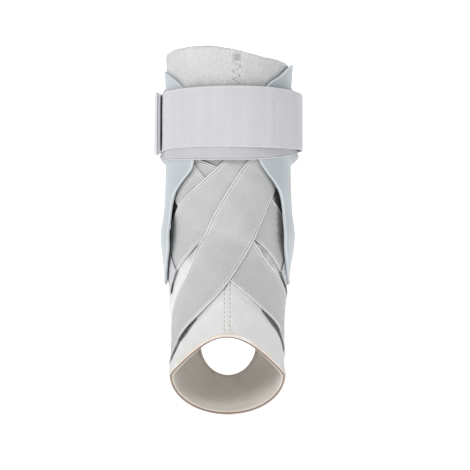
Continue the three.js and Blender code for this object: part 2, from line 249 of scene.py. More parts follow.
def smooth(rows, key, column, where):
    """A column of a table between its rows, as a smooth curve over the column named key."""
    knots, values = rows[key], rows[column]
    where = np.asarray(where, float)
    slopes = np.empty_like(values)
    slopes[1:-1] = (values[2:] - values[:-2]) / (knots[2:] - knots[:-2])
    slopes[0] = (values[1] - values[0]) / (knots[1] - knots[0])
    slopes[-1] = (values[-1] - values[-2]) / (knots[-1] - knots[-2])
    i = np.clip(np.searchsorted(knots, where) - 1, 0, len(knots) - 2)
    span = knots[i + 1] - knots[i]
    t = (where - knots[i]) / span
    return (
        (2 * t**3 - 3 * t**2 + 1) * values[i]
        + (t**3 - 2 * t**2 + t) * span * slopes[i]
        + (3 * t**2 - 2 * t**3) * values[i + 1]
        + (t**3 - t**2) * span * slopes[i + 1]
    )


def level(share):
    """Height of a share of the form above the origin, or below it where the share is negative."""
    return np.where(share >= 0, share * TOP_HEIGHT, share * SOLE_DROP)


def step01(t):
    """A smooth step from 0 to 1."""
    t = np.clip(t, 0, 1)
    return t * t * (3 - 2 * t)


def bump(x, middle, spread):
    """A soft hump of height 1 round a middle."""
    return np.exp(-(((x - middle) / spread) ** 2))


FORM = table(SECTION_COLUMNS, SECTIONS)
FORM["front_y"] = -INSTEP_REACH * FORM["front_out"]
FORM["front_z"] = level(FORM["front_up"])
FORM["back_y"] = HEEL_REACH * FORM["back_out"]
FORM["back_z"] = level(FORM["back_up"])
FORM["half"] = HALF_WIDTH * FORM["width"]


def form_point(turn, at):
    """Points of the form: turn in degrees from the front, at along the sections."""
    turn, at = np.broadcast_arrays(np.asarray(turn, float), np.asarray(at, float))
    read = {name: smooth(FORM, "at", name, at) for name in FORM if name != "at"}
    side = np.sin(np.radians(turn))
    ahead = np.cos(np.radians(turn))
    narrowed = np.where(ahead > 0, ahead * (1 - read["peak"] * side**2), ahead)
    middle_y = (read["front_y"] + read["back_y"]) / 2
    middle_z = (read["front_z"] + read["back_z"]) / 2
    return np.stack(
        [
            side * read["half"],
            middle_y + narrowed * (read["front_y"] - read["back_y"]) / 2,
            middle_z + narrowed * (read["front_z"] - read["back_z"]) / 2,
        ],
        axis=-1,
    )


def from_front(turn):
    """Degrees away from the front, from 0 to 180."""
    return np.abs((np.asarray(turn) + 180) % 360 - 180)


def unit(vectors):
    return vectors / np.linalg.norm(vectors, axis=-1, keepdims=True)


def form_slopes(turn, at):
    """Points of the form, and how they move with each degree of turn and each unit of at."""
    nudge = 1e-3
    point = form_point(turn, at)
    around = (form_point(np.add(turn, nudge), at) - point) / nudge
    along = (form_point(turn, np.add(at, nudge)) - point) / nudge
    return point, around, along


def form_frame(turn, at):
    """Point, outward direction and downward direction on the form."""
    point, around, along = form_slopes(turn, at)
    return point, unit(np.cross(along, around)), unit(along)


def solved(a, b, c, d, p, q):
    """The x and y for which ax + by = p and cx + dy = q."""
    scale = a * d - b * c
    return (p * d - q * b) / scale, (q * a - p * c) / scale


def nearest_place(turn, at, target):
    """Places on the form nearest to the targets, found from places close by."""
    for _ in range(4):
        point, around, along = form_slopes(turn, at)
        miss = target - point
        a, b, c = ((p * q).sum(-1) for p, q in ((around, around), (around, along), (along, along)))
        more_turn, more_at = solved(a, b, b, c, (miss * around).sum(-1), (miss * along).sum(-1))
        turn, at = turn + more_turn, at + more_at
    return turn, at


def place_at_height(height):
    """The at of a height on the leg."""
    return 1 - height / TOP_HEIGHT


# Steps along a route before it is cut evenly, and points whose distances are taken in one go.
FINE_STEPS = 2000
CHUNK = 4000


def even_line(route, spacing):
    """Turn, at and length at even steps along a strap's middle line."""
    rows = table(ROUTE_COLUMNS, route)
    rows["index"] = np.arange(len(route), dtype=float)
    fine = np.linspace(0, len(route) - 1, FINE_STEPS)
    turn = smooth(rows, "index", "turn", fine)
    at = smooth(rows, "index", "at", fine)
    point = form_point(turn, at)
    length = np.concatenate([[0], np.cumsum(np.linalg.norm(np.diff(point, axis=0), axis=1))])
    wanted = np.linspace(0, length[-1], int(length[-1] / spacing) + 1)
    return np.interp(wanted, length, turn), np.interp(wanted, length, at), wanted


def cover(points, line, margin, ramp):
    """1 where a strap with this middle line lies under a point, 0 well away from it."""
    flat = points.reshape(-1, 3)
    nearest = np.empty(len(flat))
    for start in range(0, len(flat), CHUNK):
        part = flat[start : start + CHUNK]
        gaps = part[:, None, :] - line[None, :, :]
        nearest[start : start + CHUNK] = np.sqrt((gaps**2).sum(-1).min(1))
    beyond = nearest.reshape(points.shape[:-1]) - STRAP_WIDTH / 2 - margin
    return 1 - step01(beyond / ramp)


LINE_STEP = 1.3 * MM
# Neighbours on each side that take part in evening out a place along a strap.
EVENED = 8
# The straps from the inside out.
ROUTES = {
    "ankle_strap_inner": INNER_ANKLE_ROUTE,
    "instep_strap_inner": INNER_INSTEP_ROUTE,
    "ankle_strap_outer": OUTER_ANKLE_ROUTE,
    "instep_strap_outer": OUTER_INSTEP_ROUTE,
}
LINES = {name: even_line(route, LINE_STEP) for name, route in ROUTES.items()}
LINE_POINTS = {name: form_point(turn, at) for name, (turn, at, _) in LINES.items()}


def lift_over(points, names, margin, ramp):
    """How far the named straps lift what lies over them."""
    lift = np.zeros(points.shape[:-1])
    for name in names:
        lift = lift + (STRAP_THICKNESS + LAYER_GAP) * cover(points, LINE_POINTS[name], margin, ramp)
    return lift


def ride_and_stand_for(obj, node):
    """Ties a piece to the body, and hides the CAD node whose look it is, if any."""
    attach(obj, "root")
    if node:
        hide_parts(node)


def add_object(name, data):
    obj = bpy.data.objects.new(name, data)
    bpy.context.scene.collection.objects.link(obj)
    return obj


def mesh_object(name, vertices, faces, materials, uv, values=None, indices=None, round_length=None):
    """A mesh with smooth faces turned outwards, with a weave map and named values per vertex.

    The weave map of a closed ring goes on over its last face, by the length once round.
    """
    vertices = np.asarray(vertices, float)
    a, b, c, d = (vertices[faces[:, k]] for k in range(4))
    volume = (np.cross(b - a, c - a) * a).sum() + (np.cross(c - a, d - a) * a).sum()
    if volume < 0:
        faces = faces[:, ::-1]
    mesh = bpy.data.meshes.new(name)
    mesh.from_pydata(vertices.tolist(), [], faces.tolist())
    layer = mesh.uv_layers.new(name="weave")
    corners = uv[faces]
    if round_length:
        first = corners[..., 0]
        crosses = first.max(1, keepdims=True) - first.min(1, keepdims=True) > round_length / 2
        corners[..., 0] = np.where(crosses & (first < 0), first + round_length, first)
    layer.data.foreach_set("uv", corners.astype(np.float32).ravel())
    for key, value in (values or {}).items():
        attribute = mesh.attributes.new(key, "FLOAT", "POINT")
        attribute.data.foreach_set("value", value.astype(np.float32).ravel())
    if indices is not None:
        mesh.polygons.foreach_set("material_index", indices.astype(np.int32))
    mesh.polygons.foreach_set("use_smooth", np.ones(len(faces), bool))
    for material in materials:
        mesh.materials.append(material)
    mesh.update()
    return add_object(name, mesh)


def grid_faces(rows, columns, offset=0, ring=False, loop=False):
    """Faces of a grid of points, whose last row or column may join the first one."""
    i = np.arange(rows if ring else rows - 1)
    j = np.arange(columns if loop else columns - 1)
    i, j = (x.ravel() for x in np.meshgrid(i, j, indexing="ij"))
    i1, j1 = (i + 1) % rows, (j + 1) % columns
    return offset + np.stack([i * columns + j, i1 * columns + j, i1 * columns + j1, i * columns + j1], 1)


def lay_sheet(name, node, material, place, stand, wall, curl, weave, values=None):
    """A closed sheet on the form.

    place holds its turn and at, stand is how far the inner face stands off the form, wall is the
    thickness, curl draws both faces in close to the edges, and weave holds the lengths of its map.
    """
    point, normal, _ = form_frame(*place)
    shape = point.shape[:2]
    count = shape[0] * shape[1]
    inside = point + normal * (stand + curl)[..., None]
    outside = point + normal * (stand + wall - curl)[..., None]
    ids = np.arange(count).reshape(shape)
    rim = np.concatenate([ids[0, :-1], ids[:-1, -1], ids[-1, :0:-1], ids[:0:-1, 0]])
    after = np.roll(rim, -1)
    faces = np.concatenate(
        [
            grid_faces(*shape, count),
            grid_faces(*shape)[:, ::-1],
            np.stack([count + rim, count + after, after, rim], 1),
        ]
    )
    vertices = np.concatenate([inside.reshape(-1, 3), outside.reshape(-1, 3)])
    uv = np.stack([np.broadcast_to(length, shape) for length in weave], -1).reshape(-1, 2)
    both = {key: np.tile(np.broadcast_to(value, shape).ravel(), 2) for key, value in (values or {}).items()}
    obj = mesh_object(name, vertices, faces, [material], np.tile(uv, (2, 1)), both)
    ride_and_stand_for(obj, node)


def rounding(edge, radius):
    """How far a sheet's face falls towards its middle close to an edge."""
    inside = np.clip(edge / radius, 0, 1)
    return radius * (1 - np.sqrt(np.clip(1 - (1 - inside) ** 2, 0, 1)))


# Share of a sheet's thickness that each face falls at its edges.
CURL_SHARE = 0.475


# Materials.


class Graph:
    """The nodes of one material, added one after the other."""

    def __init__(self, name, roughness, sheen=0.0):
        self.material = bpy.data.materials.new(name)
        self.material.use_nodes = True
        self.tree = self.material.node_tree
        self.tree.nodes.clear()
        self.shader = self.add("ShaderNodeBsdfPrincipled")
        output = self.add("ShaderNodeOutputMaterial")
        self.link(self.shader.outputs["BSDF"], output.inputs["Surface"])
        self.shader.inputs["Roughness"].default_value = roughness
        self.shader.inputs["Sheen Weight"].default_value = sheen
        self.shader.inputs["Sheen Roughness"].default_value = 0.6
        self.shader.inputs["Specular IOR Level"].default_value = 0.3

    def add(self, kind):
        return self.tree.nodes.new(kind)

    def link(self, output, socket):
        self.tree.links.new(output, socket)

    def feed(self, socket, value):
        if isinstance(value, (int, float)):
            socket.default_value = value
        else:
            self.link(value, socket)

    def math(self, operation, first, second=0.0, clamp=False):
        node = self.add("ShaderNodeMath")
        node.operation = operation
        node.use_clamp = clamp
        self.feed(node.inputs[0], first)
        self.feed(node.inputs[1], second)
        return node.outputs[0]

    def times(self, first, second):
        return self.math("MULTIPLY", first, second)

    def weighted(self, *parts, clamp=False):
        """The sum of values, each times its weight, kept between 0 and 1 where clamp is set."""
        total = self.times(*parts[0])
        for k, part in enumerate(parts[1:], 2):
            total = self.math("ADD", total, self.times(*part), clamp and k == len(parts))
        return total

    def above(self, value, floor, gain):
        """0 up to a floor, and from there to 1 at this rate."""
        return self.math("MULTIPLY", self.math("SUBTRACT", value, floor), gain, True)

    def weave_map(self):
        """The two lengths of the weave map, in metres."""
        node = self.add("ShaderNodeUVMap")
        node.uv_map = "weave"
        split = self.add("ShaderNodeSeparateXYZ")
        self.link(node.outputs["UV"], split.inputs[0])
        return split.outputs["X"], split.outputs["Y"]

    def ripple(self, length, period):
        """A wave from -1 to 1 over a length in metres."""
        return self.math("SINE", self.times(length, 2 * math.pi / period))

    def value(self, name):
        node = self.add("ShaderNodeAttribute")
        node.attribute_name = name
        return node.outputs["Fac"]

    def noise(self, size, detail=2.0, roughness=0.5):
        """Noise from 0 to 1 in the object's own space, with lumps of this size."""
        place = self.add("ShaderNodeTexCoord")
        node = self.add("ShaderNodeTexNoise")
        node.inputs["Scale"].default_value = 1 / size
        node.inputs["Detail"].default_value = detail
        node.inputs["Roughness"].default_value = roughness
        self.link(place.outputs["Object"], node.inputs["Vector"])
        return node.outputs["Fac"]

    def mix(self, factor, low, high):
        """A colour between two colours."""
        node = self.add("ShaderNodeMix")
        node.data_type = "RGBA"
        self.feed(node.inputs["Factor"], factor)
        for socket, colour in ((node.inputs[6], low), (node.inputs[7], high)):
            if isinstance(colour, tuple):
                socket.default_value = (*colour, 1.0)
            else:
                self.link(colour, socket)
        return node.outputs[2]

    def tones(self, factor, colour, low, high):
        """A colour between a darker and a lighter share of itself."""
        return self.mix(factor, shade(colour, low), shade(colour, high))

    def colour(self, output):
        self.link(output, self.shader.inputs["Base Color"])

    def relief(self, height, depth):
        node = self.add("ShaderNodeBump")
        node.inputs["Strength"].default_value = 1.0
        node.inputs["Distance"].default_value = depth
        self.link(height, node.inputs["Height"])
        self.link(node.outputs["Normal"], self.shader.inputs["Normal"])


def rgb(code):
    """A colour written as in a web page, as the light that it reflects."""
    parts = [int(code[k : k + 2], 16) / 255 for k in (0, 2, 4)]
    return tuple(p / 12.92 if p <= 0.04045 else ((p + 0.055) / 1.055) ** 2.4 for p in parts)


def shade(colour, factor):
    return tuple(min(c * factor, 1.0) for c in colour)


CORD_COLOUR = rgb("EDEDEC")
DEEP_SHADE = rgb("3A3832")


def elastic_material(name, colour):
    """Woven elastic: fine ribs across the tape, threads along it, a paler cord at each edge, and painted
    shade in the groove beside it and near the shells and side loops.
    """
    graph = Graph(name, 0.82, 0.15)
    across, along = graph.weave_map()
    rib = graph.ripple(along, 1.25 * MM)
    thread = graph.ripple(across, 0.95 * MM)
    weave = graph.weighted((rib, 0.6), (thread, 0.4))
    fuzz = graph.noise(0.5 * MM, 3.0, 0.7)
    cloud = graph.noise(14 * MM, 3.0)
    tone = graph.weighted((weave, 0.09), (cloud, 0.55), (fuzz, 0.3), clamp=True)
    with_cord = graph.mix(graph.value("cord"), graph.tones(tone, colour, 0.86, 1.12), CORD_COLOUR)
    # The groove beside each cord is painted darker as its shade, and the tape darker still where the painted
    # shade value is set.
    grooved = graph.mix(graph.value("groove"), with_cord, shade(colour, 0.5))
    graph.colour(graph.mix(graph.value("painted_shade"), grooved, shade(colour, 0.3)))
    graph.relief(graph.weighted((weave, 0.5), (fuzz, 1.0)), 0.22 * MM)
    return graph.material


def sleeve_material(name, upper, lower):
    """Padded knit: fine ribs above, and a cloth with slanted rows of pinholes below."""
    graph = Graph(name, 0.9, 0.25)
    across, along = graph.weave_map()
    low = graph.value("lower")
    drift = graph.noise(4 * MM, 3.0, 0.7)
    rib = graph.ripple(graph.weighted((across, 1.0), (drift, 5 * MM)), 2.1 * MM)
    stitch = graph.ripple(graph.weighted((along, 1.0), (rib, 0.5 * MM)), 1.7 * MM)
    slant = graph.ripple(graph.weighted((across, 1.0), (along, 1.0)), 3.1 * MM)
    other = graph.ripple(graph.weighted((across, 1.0), (along, -1.0)), 3.1 * MM)
    holes = graph.above(graph.times(slant, other), 0.35, 1.5)
    blend = graph.add("ShaderNodeMix")
    graph.link(low, blend.inputs["Factor"])
    graph.link(graph.weighted((rib, 0.5), (stitch, 0.5)), blend.inputs[2])
    graph.link(graph.times(holes, -1.6), blend.inputs[3])
    pattern = blend.outputs[0]
    fuzz = graph.noise(0.6 * MM, 4.0, 0.75)
    cloud = graph.noise(18 * MM, 4.0)
    coarse = graph.noise(1.7 * MM, 3.0, 0.8)
    flecks = graph.math("SUBTRACT", coarse, 0.3)
    tone = graph.weighted((pattern, 0.12), (cloud, 0.4), (flecks, 1.1), clamp=True)
    above = graph.tones(tone, upper, 0.8, 1.24)
    below = graph.tones(tone, lower, 0.99, 1.17)
    below = graph.mix(graph.times(holes, 0.6), below, shade(lower, 0.84))
    cloth = graph.mix(low, above, below)
    # Painted shade: the cloth turns towards DEEP_SHADE in front of the shells' edges, beside the crossings of
    # the straps and where the side loops run in under the shells.
    graph.colour(graph.mix(graph.value("painted_shade"), cloth, DEEP_SHADE))
    graph.relief(graph.weighted((pattern, 0.4), (fuzz, 1.0), (coarse, 1.6)), 0.45 * MM)
    return graph.material


def lining_material(name, colour):
    """Plain close weave, for the lining and the bindings."""
    graph = Graph(name, 0.85, 0.2)
    across, along = graph.weave_map()
    weave = graph.times(graph.ripple(across, 1.2 * MM), graph.ripple(along, 1.2 * MM))
    tone = graph.weighted((weave, 0.15), (graph.noise(9 * MM, 3.0), 1.0), clamp=True)
    graph.colour(graph.tones(tone, colour, 0.86, 1.08))
    graph.relief(weave, 0.15 * MM)
    return graph.material


def plastic_material(name, colour, rim):
    """Satin plastic with a fine grain, a paler rim that is a painted highlight along the raised edge, and a
    little cloudiness.
    """
    graph = Graph(name, 0.42)
    graph.shader.inputs["Specular IOR Level"].default_value = 0.5
    cloud = graph.noise(30 * MM, 3.0)
    grain = graph.noise(0.35 * MM, 2.0)
    tone = graph.weighted((cloud, 0.8), (grain, 0.2), clamp=True)
    graph.colour(graph.mix(graph.value("rim"), graph.tones(tone, colour, 0.93, 1.07), rim))
    graph.link(graph.math("ADD", graph.times(cloud, 0.16), 0.36), graph.shader.inputs["Roughness"])
    graph.relief(grain, 0.04 * MM)
    return graph.material


def loop_material(name, colour):
    """Brushed loop cloth: a dense low pile, with the light and shade of faint creases across the strap
    painted in.
    """
    graph = Graph(name, 0.88, 0.35)
    across, along = graph.weave_map()
    pile = graph.noise(0.45 * MM, 4.0, 0.8)
    row = graph.ripple(across, 1.0 * MM)
    # Painted light and shade of faint creases: stretched noise gives bands of tone across the strap.
    stretched = graph.add("ShaderNodeCombineXYZ")
    graph.link(graph.times(along, 1 / (9 * MM)), stretched.inputs["X"])
    graph.link(graph.times(across, 1 / (70 * MM)), stretched.inputs["Y"])
    crease_shading = graph.add("ShaderNodeTexNoise")
    crease_shading.inputs["Scale"].default_value = 1.0
    crease_shading.inputs["Detail"].default_value = 3.0
    graph.link(stretched.outputs[0], crease_shading.inputs["Vector"])
    tone = graph.weighted((crease_shading.outputs["Fac"], 0.75), (pile, 0.3), (row, 0.03), clamp=True)
    body = graph.tones(tone, colour, 0.88, 1.1)
    graph.colour(graph.mix(graph.value("cord"), body, shade(colour, 1.16)))
    graph.relief(graph.weighted((pile, 1.0), (row, 0.15)), 0.25 * MM)
    return graph.material


def thread_material(name, colour):
    graph = Graph(name, 0.6, 0.3)
    twist = graph.noise(0.3 * MM, 2.0)
    graph.colour(graph.tones(twist, colour, 0.8, 1.1))
    graph.relief(twist, 0.05 * MM)
    return graph.material


def hook_and_shade_material(name, colour):
    """Dark mottled sheet: partly a strap's hook underside, mottled by its hooks and the fluff that they hold,
    and partly painted shade of the gap under its lifted edge.
    """
    graph = Graph(name, 0.8, 0.1)
    spots = graph.noise(0.9 * MM, 2.0, 0.6)
    graph.colour(graph.tones(graph.above(spots, 0.46, 9.0), colour, 0.22, 1.7))
    graph.relief(spots, 0.4 * MM)
    return graph.material


SLEEVE_CLOTH = sleeve_material("sleeve_cloth", rgb("D8D8D8"), rgb("EBEBE9"))
SIDE_CLOTH = sleeve_material("side_cloth", rgb("CECED2"), rgb("CECED2"))
SLEEVE_LINING = lining_material("sleeve_lining", rgb("ECE7E0"))
EDGE_BINDING = lining_material("edge_binding", rgb("F0E4D8"))
CROSS_ELASTIC = elastic_material("cross_elastic", rgb("C3C3C2"))
BAND_ELASTIC = elastic_material("band_elastic", rgb("C3C3C6"))
# The second colour is a painted highlight along the shells' raised rims.
SHELL_PLASTIC = plastic_material("shell_plastic", rgb("B8BFC3"), rgb("D6DBDE"))
LOOP_CLOTH = loop_material("loop_cloth", rgb("C9C8CD"))
TAB_CLOTH = loop_material("tab_cloth", rgb("DAD9DE"))
PALE_THREAD = thread_material("pale_thread", rgb("E4E4E2"))
GREY_THREAD = thread_material("grey_thread", rgb("A0A09D"))
SOFT_THREAD = thread_material("soft_thread", rgb("B9B9B6"))
# Brown line at the foot opening's edge: partly the cut edge, partly painted shade against the foot.
BROWN_EDGE_AND_SHADE = thread_material("brown_edge_and_shade", rgb("80706A"))
# Dark mottled strips: partly the straps' hook undersides, partly painted shade of the gap under their lifted
# edges.
HOOK_AND_GAP_SHADE = hook_and_shade_material("hook_and_gap_shade", rgb("6C6E6C"))


# The sleeve.

SLEEVE_AROUND = 260
SLEEVE_ALONG = 190
LINING_ALONG = 70
LIP_ANGLES = (22, 45, 68, 90, 112, 135, 158)
# How far the padding swells between the straps, and the distance from them over which it rises.
PAD_SWELL = 0.7 * MM
PAD_EASE = 6 * MM
# Heights between which the band holds the padding down.
HELD_FROM = 50 * MM
HELD_TO = 107 * MM
# The padding that stands out at the left, below the shell and above the lower strap.
SIDE_PAD = 2.6 * MM
SIDE_PAD_TURN = -92
SIDE_PAD_DEPTH = 53 * MM
# Turn of the seam at the top, and length of a degree on the front there.
SEAM_TURN = 8.5
FRONT_DEGREE = 0.78 * MM

# Shaded corners of the sleeve beside the crossings of the straps, in millimetres.
SHADE_COLUMNS = ("x", "height", "spread", "strength")
SHADES = (
    (-15, 3, 6, 0.5),
    (-20, -5, 6, 0.42),
    (-27, -14, 5, 0.25),
    (19, -4, 6, 0.5),
    (26, -11, 6, 0.42),
    (33, -19, 5, 0.3),
)


def twin(x, apart, spread):
    """Two soft humps on either side of 0."""
    return bump(x, apart, spread) + bump(x, -apart, spread)


def sleeve_relief(turn, at, point):
    """Padding that swells between the straps, the front seams and soft unevenness."""
    x, _, height = np.moveaxis(point, -1, 0)
    tight = step01((height - HELD_FROM) / PAD_EASE) * step01((HELD_TO - height) / PAD_EASE)
    for line in LINE_POINTS.values():
        tight = np.maximum(tight, cover(point, line, 0, PAD_EASE))
    beside = bump(turn, SIDE_PAD_TURN, 24) * bump(height, -SIDE_PAD_DEPTH, 10 * MM)
    waves = 0.22 * MM * np.sin(turn * 0.11 + 9 * at) * np.sin(13 * at + turn * 0.05)
    waves += 0.12 * MM * np.sin(turn * 0.31 - 21 * at)
    aside = (turn - SEAM_TURN) * FRONT_DEGREE
    seam = 0.2 * MM * twin(aside, 2.6 * MM, 1.2 * MM) - 0.25 * MM * bump(aside, 0, 0.6 * MM)
    ridge = 0.7 * MM * bump(x, 0, 0.8 * MM) - 0.4 * MM * twin(x, 2 * MM, 0.5 * MM)
    ridge *= step01((height - FRONT_ROW_BOTTOM * MM) / (3 * MM))
    upper = step01((0.22 - at) / 0.05)
    lower = step01((at - 1.4) / 0.05)
    front = np.cos(np.radians(turn)) > 0
    return (PAD_SWELL + SIDE_PAD * beside + waves) * (1 - tight) + front * (upper * seam + lower * ridge)


def left_and_right(rows, at):
    """The left and right columns of a table at these places, kept level beyond its ends."""
    within = np.clip(at, rows["at"][0], rows["at"][-1])
    return smooth(rows, "at", "left", within), smooth(rows, "at", "right", within)


def shell_shadow(turn, at):
    """1 close in front of the shells' front edges below the band, where little light comes."""
    left, right = left_and_right(table(SHELL_COLUMNS, SHELL_OUTLINE), at)
    spread = np.where(np.sin(np.radians(turn)) < 0, left, right)
    away = from_front(turn)
    before = np.radians(90 - spread - away) * SLEEVE_RADIUS
    inside = step01((at - 0.6) / 0.06) * step01((1.15 - at) / 0.15) * step01((115 - away) / 15)
    reach = (4.5 - 3.0 * step01((at - 0.75) / 0.15)) * MM
    return inside * (1 - step01(before / reach))


def crossing_shade(point):
    """1 in the corners beside the crossings, which the stacked straps keep in shade."""
    dim = np.zeros(point.shape[:-1])
    for row in SHADES:
        spot = dict(zip(SHADE_COLUMNS, row))
        apart = np.hypot(point[..., 0] - spot["x"] * MM, point[..., 2] - spot["height"] * MM)
        dim = np.maximum(dim, spot["strength"] * bump(apart, 0, spot["spread"] * MM))
    return dim * (point[..., 1] < 0)


def lip(turn, at, direction, first, last):
    """A half round from one face of the sleeve's wall to the other."""
    _, _, down = form_frame(turn, at)
    middle = (first + last) / 2
    reach = (first - last) / 2
    size = np.linalg.norm(reach, axis=-1, keepdims=True)
    rows = []
    for angle in np.radians(LIP_ANGLES):
        rows.append(middle + reach * math.cos(angle) + direction * down * size * math.sin(angle))
    return np.concatenate(rows, axis=1)


def heel_place():
    """Middle of the heel opening on the form, its outward and its upward direction."""
    point, normal, down = form_frame(180.0, HEEL_OPENING_AT)
    return point, normal, -down


def heel_reach(gap, up):
    """Distance from the middle of the heel opening, as a share of the ellipse that it is cut by."""
    return np.hypot(gap[:, 0] / HEEL_OPENING_HALF_WIDTH, (gap @ up) / HEEL_OPENING_HALF_HEIGHT)


def build_sleeve():
    """The sleeve with its lining, open at the leg, at the foot and at the heel."""
    turn = np.linspace(-180, 180, SLEEVE_AROUND, endpoint=False)[:, None]
    top = 1 - smooth(table(TOP_EDGE_COLUMNS, TOP_EDGE), "turn", "up", turn)
    outer_at = top + (2 - top) * np.linspace(0, 1, SLEEVE_ALONG)
    inner_at = top + (2 - top) * np.linspace(1, 0, LINING_ALONG)
    point, normal, _ = form_frame(turn, outer_at)
    outer = point + normal * sleeve_relief(turn + 0 * outer_at, outer_at, point)[..., None]
    point, normal, _ = form_frame(turn, inner_at)
    inner = point - normal * SLEEVE_WALL
    foot = lip(turn, outer_at[:, -1:], 1, outer[:, -1:], inner[:, :1])
    head = lip(turn, outer_at[:, :1], -1, inner[:, -1:], outer[:, :1])
    section = np.concatenate([outer, foot, inner, head], axis=1)
    rows, columns = section.shape[:2]
    steps = len(LIP_ANGLES)
    foot_at = np.repeat(outer_at[:, -1:], steps, 1)
    head_at = np.repeat(outer_at[:, :1], steps, 1)
    at = np.concatenate([outer_at, foot_at, inner_at, head_at], axis=1)
    # Painted shade in front of the shells' edges and beside the crossings of the straps.
    painted_shade = np.maximum(shell_shadow(np.broadcast_to(turn, at.shape), at), crossing_shade(section))

    faces = grid_faces(rows, columns, 0, True, True)
    column = faces[:, 0] % columns
    lining = (column >= SLEEVE_ALONG + steps // 2) & (column <= SLEEVE_ALONG + steps + LINING_ALONG)
    points = section.reshape(-1, 3)
    heel, outward, up = heel_place()
    gap = points[faces].mean(1) - heel
    cut = (heel_reach(gap, up) < 1) & (gap @ outward > -HEEL_CUT_DEPTH)
    on_rim = np.intersect1d(faces[cut], faces[~cut])
    gap = points[on_rim] - heel
    in_plane = gap - (gap @ outward)[:, None] * outward
    points[on_rim] += in_plane * (1 / heel_reach(gap, up)[:, None] - 1)
    used, kept = np.unique(faces[~cut], return_inverse=True)

    around = np.broadcast_to(np.radians(turn) * SLEEVE_RADIUS, at.shape)
    uv = np.stack([around, at * SLEEVE_LENGTH], -1).reshape(-1, 2)[used]
    lower = step01((at - 0.85) / 0.25)
    values = {"lower": lower.reshape(-1)[used], "painted_shade": painted_shade.reshape(-1)[used]}
    materials = [SLEEVE_CLOTH, SLEEVE_LINING]
    round_length = 2 * math.pi * SLEEVE_RADIUS
    faces = kept.reshape(-1, 4)
    return mesh_object("sleeve_cloth", points[used], faces, materials, uv, values, lining[~cut], round_length)


def ellipse_places(steps):
    """Places on the form on the rim of the heel opening."""
    heel, _, up = heel_place()
    angle = np.linspace(0, 2 * math.pi, steps, endpoint=False)
    goal_x = HEEL_OPENING_HALF_WIDTH * np.cos(angle)
    goal_up = HEEL_OPENING_HALF_HEIGHT * np.sin(angle)
    turn = np.full(steps, 180.0)
    at = np.full(steps, HEEL_OPENING_AT)
    for share in (0.3, 0.6, 0.85, 1, 1, 1, 1):
        point, around, along = form_slopes(turn, at)
        miss_x = share * goal_x - point[:, 0]
        miss_up = share * goal_up - (point - heel) @ up
        more_turn, more_at = solved(around[:, 0], along[:, 0], around @ up, along @ up, miss_x, miss_up)
        turn, at = turn + more_turn, at + more_at
    return turn, at


BINDING_SIDES = 14


def binding(name, centres, outward, sideways, reach, depth, material):
    """A flat rounded tape folded round an edge that follows a closed line."""
    angle = np.linspace(0, 2 * math.pi, BINDING_SIDES, endpoint=False)
    rim = (
        centres[:, None, :]
        + outward[:, None, :] * depth * np.sin(angle)[None, :, None]
        + sideways[:, None, :] * reach * np.cos(angle)[None, :, None]
    )
    steps = len(centres)
    faces = grid_faces(steps, BINDING_SIDES, 0, True, True)
    length = np.linalg.norm(np.roll(centres, -1, 0) - centres, axis=1)
    run = np.concatenate([[0], np.cumsum(length)[:-1]])
    uv = np.stack(np.broadcast_arrays(angle * depth, run[:, None]), -1).reshape(-1, 2)
    return mesh_object(name, rim.reshape(-1, 3), faces, [material], uv)


def build_heel_binding():
    turn, at = ellipse_places(150)
    point, normal, _ = form_frame(turn, at)
    ahead = unit(np.roll(point, -1, 0) - np.roll(point, 1, 0))
    sideways = unit(np.cross(ahead, normal))
    centres = point - normal * (SLEEVE_WALL / 2 - 0.2 * MM)
    return binding("heel_binding", centres, normal, sideways, 2.4 * MM, 2.0 * MM, EDGE_BINDING)


def build_foot_trim():
    """Beige binding of the foot opening, and the brown line along its very edge: the cut edge together with
    painted shade against the foot.
    """
    turn = np.linspace(-180, 180, 240, endpoint=False)
    point, normal, down = form_frame(turn, 2.0)
    centres = point - normal * (SLEEVE_WALL / 2 - 0.3 * MM) + down * 0.2 * MM
    tape = binding("foot_binding", centres, normal, down, 1.7 * MM, 1.75 * MM, EDGE_BINDING)
    line = centres + down * 1.75 * MM - normal * 0.1 * MM
    thread = binding("foot_edge_and_shade_line", line, normal, down, 0.4 * MM, 0.55 * MM, BROWN_EDGE_AND_SHADE)
    return tape, thread


# Cloth loops at the sides, under the shells' tips, which the ankle straps run into.

LOOP_COLUMNS = ("at", "left", "right")
LOOP_EDGE = (
    (0.98, 92, 92),
    (1.08, 77, 79),
    (1.18, 67, 70),
    (1.27, 58, 62),
    (1.32, 64, 67),
    (1.37, 73, 75),
    (1.42, 84, 85),
)
LOOP_BACK = 102
LOOP_CURL = 0.5 * MM


def loop_shadow(turn, at):
    """1 just in front of the edges of the side loops."""
    edge = table(LOOP_COLUMNS, LOOP_EDGE)
    away = from_front(turn)
    left = np.interp(at, edge["at"], edge["left"])
    right = np.interp(at, edge["at"], edge["right"])
    before = np.radians(np.where(np.sin(np.radians(turn)) < 0, left, right) - away) * SIDE_RADIUS
    inside = (at > edge["at"][0]) & (at < edge["at"][-1])
    return inside * step01(1 - before / (1.5 * MM)) * step01((115 - away) / 15)


